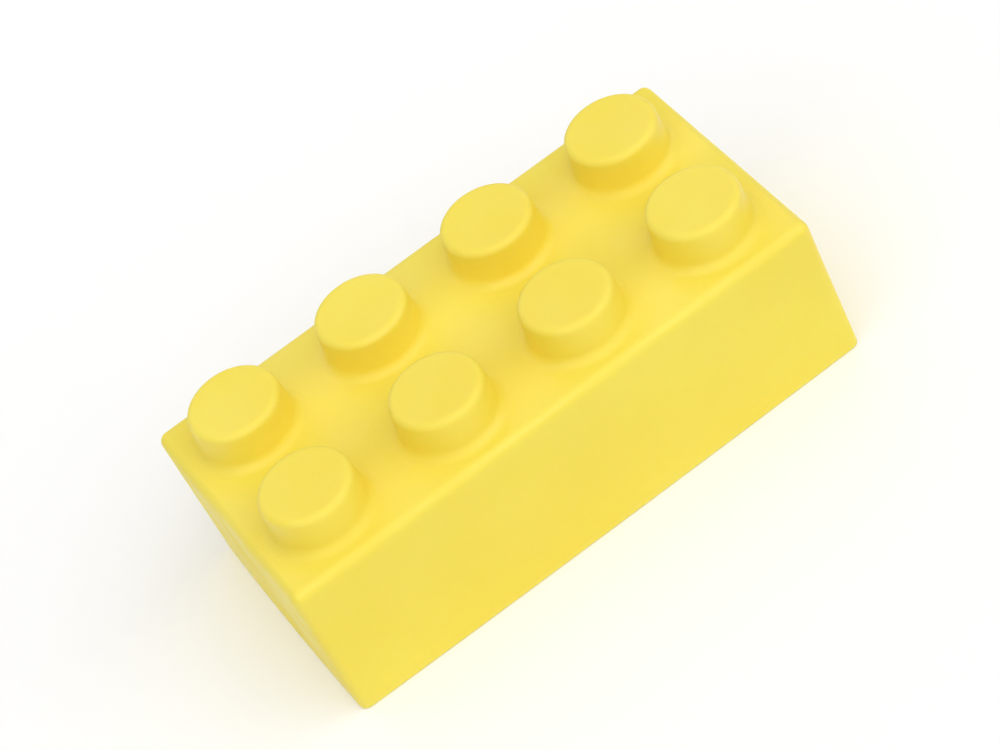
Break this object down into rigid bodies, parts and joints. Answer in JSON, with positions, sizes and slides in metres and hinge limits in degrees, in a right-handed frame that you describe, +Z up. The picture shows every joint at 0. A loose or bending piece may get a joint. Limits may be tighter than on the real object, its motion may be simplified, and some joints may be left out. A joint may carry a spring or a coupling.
{
  "type": "interlocking building block",
  "caption": "Giant hollow interlocking building block of soft plastic, with round studs on top and grip tubes and webs under an open foot.",
  "frame": {"origin": "centre of the foot, on the plane that the block rests on", "axes": "+X along the length, +Y along the width, +Z up through the studs"},
  "size_m": [0.1994, 0.0996, 0.073],
  "materials": {
    "shell_plastic": "satin yellow",
    "tube_plastic": "satin yellow",
    "web_plastic": "satin yellow"
  },
  "bodies": {
    "root": {"outer_shell": "shell_plastic", "grip_tube_1": "tube_plastic", "grip_tube_2": "tube_plastic", "grip_tube_3": "tube_plastic", "spine_web_1": "web_plastic", "spine_web_2": "web_plastic", "spine_web_3": "web_plastic", "spine_web_4": "web_plastic", "cross_web_front_1": "web_plastic", "cross_web_front_2": "web_plastic", "cross_web_front_3": "web_plastic", "cross_web_back_1": "web_plastic", "cross_web_back_2": "web_plastic", "cross_web_back_3": "web_plastic"}
  },
  "joints": []
}
